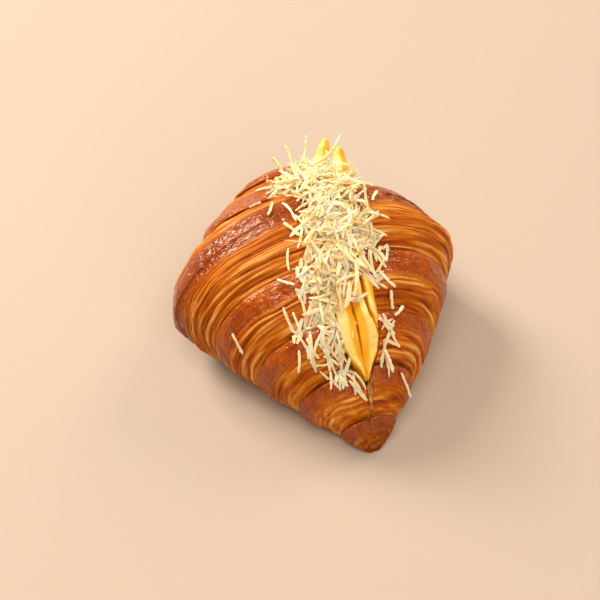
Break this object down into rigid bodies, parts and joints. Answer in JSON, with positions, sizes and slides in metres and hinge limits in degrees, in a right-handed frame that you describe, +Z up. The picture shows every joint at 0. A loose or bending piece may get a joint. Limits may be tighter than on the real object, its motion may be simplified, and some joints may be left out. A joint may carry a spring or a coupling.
{
  "type": "filled croissant",
  "caption": "Large laminated croissant cut open along its crest, with cheese slices standing in the cut and grated cheese heaped over it, resting on a flat base.",
  "frame": {"origin": "middle of the flat base, on the surface the croissant rests on", "axes": "+X along the croissant towards its near tip, +Y across it, +Z up"},
  "size_m": [0.156, 0.1298, 0.0768],
  "materials": {
    "crust": "egg-washed, baked, glossy dark bands and golden layered flanks",
    "slice_cheese": "moist cut face",
    "grated_cheese": "dry grated shreds"
  },
  "bodies": {
    "root": {"croissant": "crust", "cheese_slice_near_left": "slice_cheese", "cheese_slice_near_right": "slice_cheese", "cheese_slice_near_back": "slice_cheese", "cheese_slice_middle": "slice_cheese", "cheese_slice_far_left": "slice_cheese", "cheese_slice_far_right": "slice_cheese", "grated_cheese_heap": "grated_cheese", "cheese_shred_01": "grated_cheese", "cheese_shred_02": "grated_cheese", "cheese_shred_03": "grated_cheese", "cheese_shred_04": "grated_cheese", "cheese_shred_05": "grated_cheese", "cheese_shred_06": "grated_cheese", "cheese_shred_07": "grated_cheese", "cheese_shred_08": "grated_cheese", "cheese_shred_09": "grated_cheese", "cheese_shred_10": "grated_cheese", "cheese_shred_11": "grated_cheese", "cheese_shred_12": "grated_cheese", "cheese_shred_13": "grated_cheese", "cheese_shred_14": "grated_cheese", "cheese_shred_15": "grated_cheese", "cheese_shred_16": "grated_cheese", "cheese_shred_17": "grated_cheese", "cheese_shred_18": "grated_cheese", "cheese_shred_19": "grated_cheese", "cheese_shred_20": "grated_cheese", "cheese_shred_21": "grated_cheese", "cheese_shred_22": "grated_cheese", "cheese_shred_23": "grated_cheese", "cheese_shred_24": "grated_cheese", "cheese_shred_25": "grated_cheese", "cheese_shred_26": "grated_cheese"}
  },
  "joints": []
}
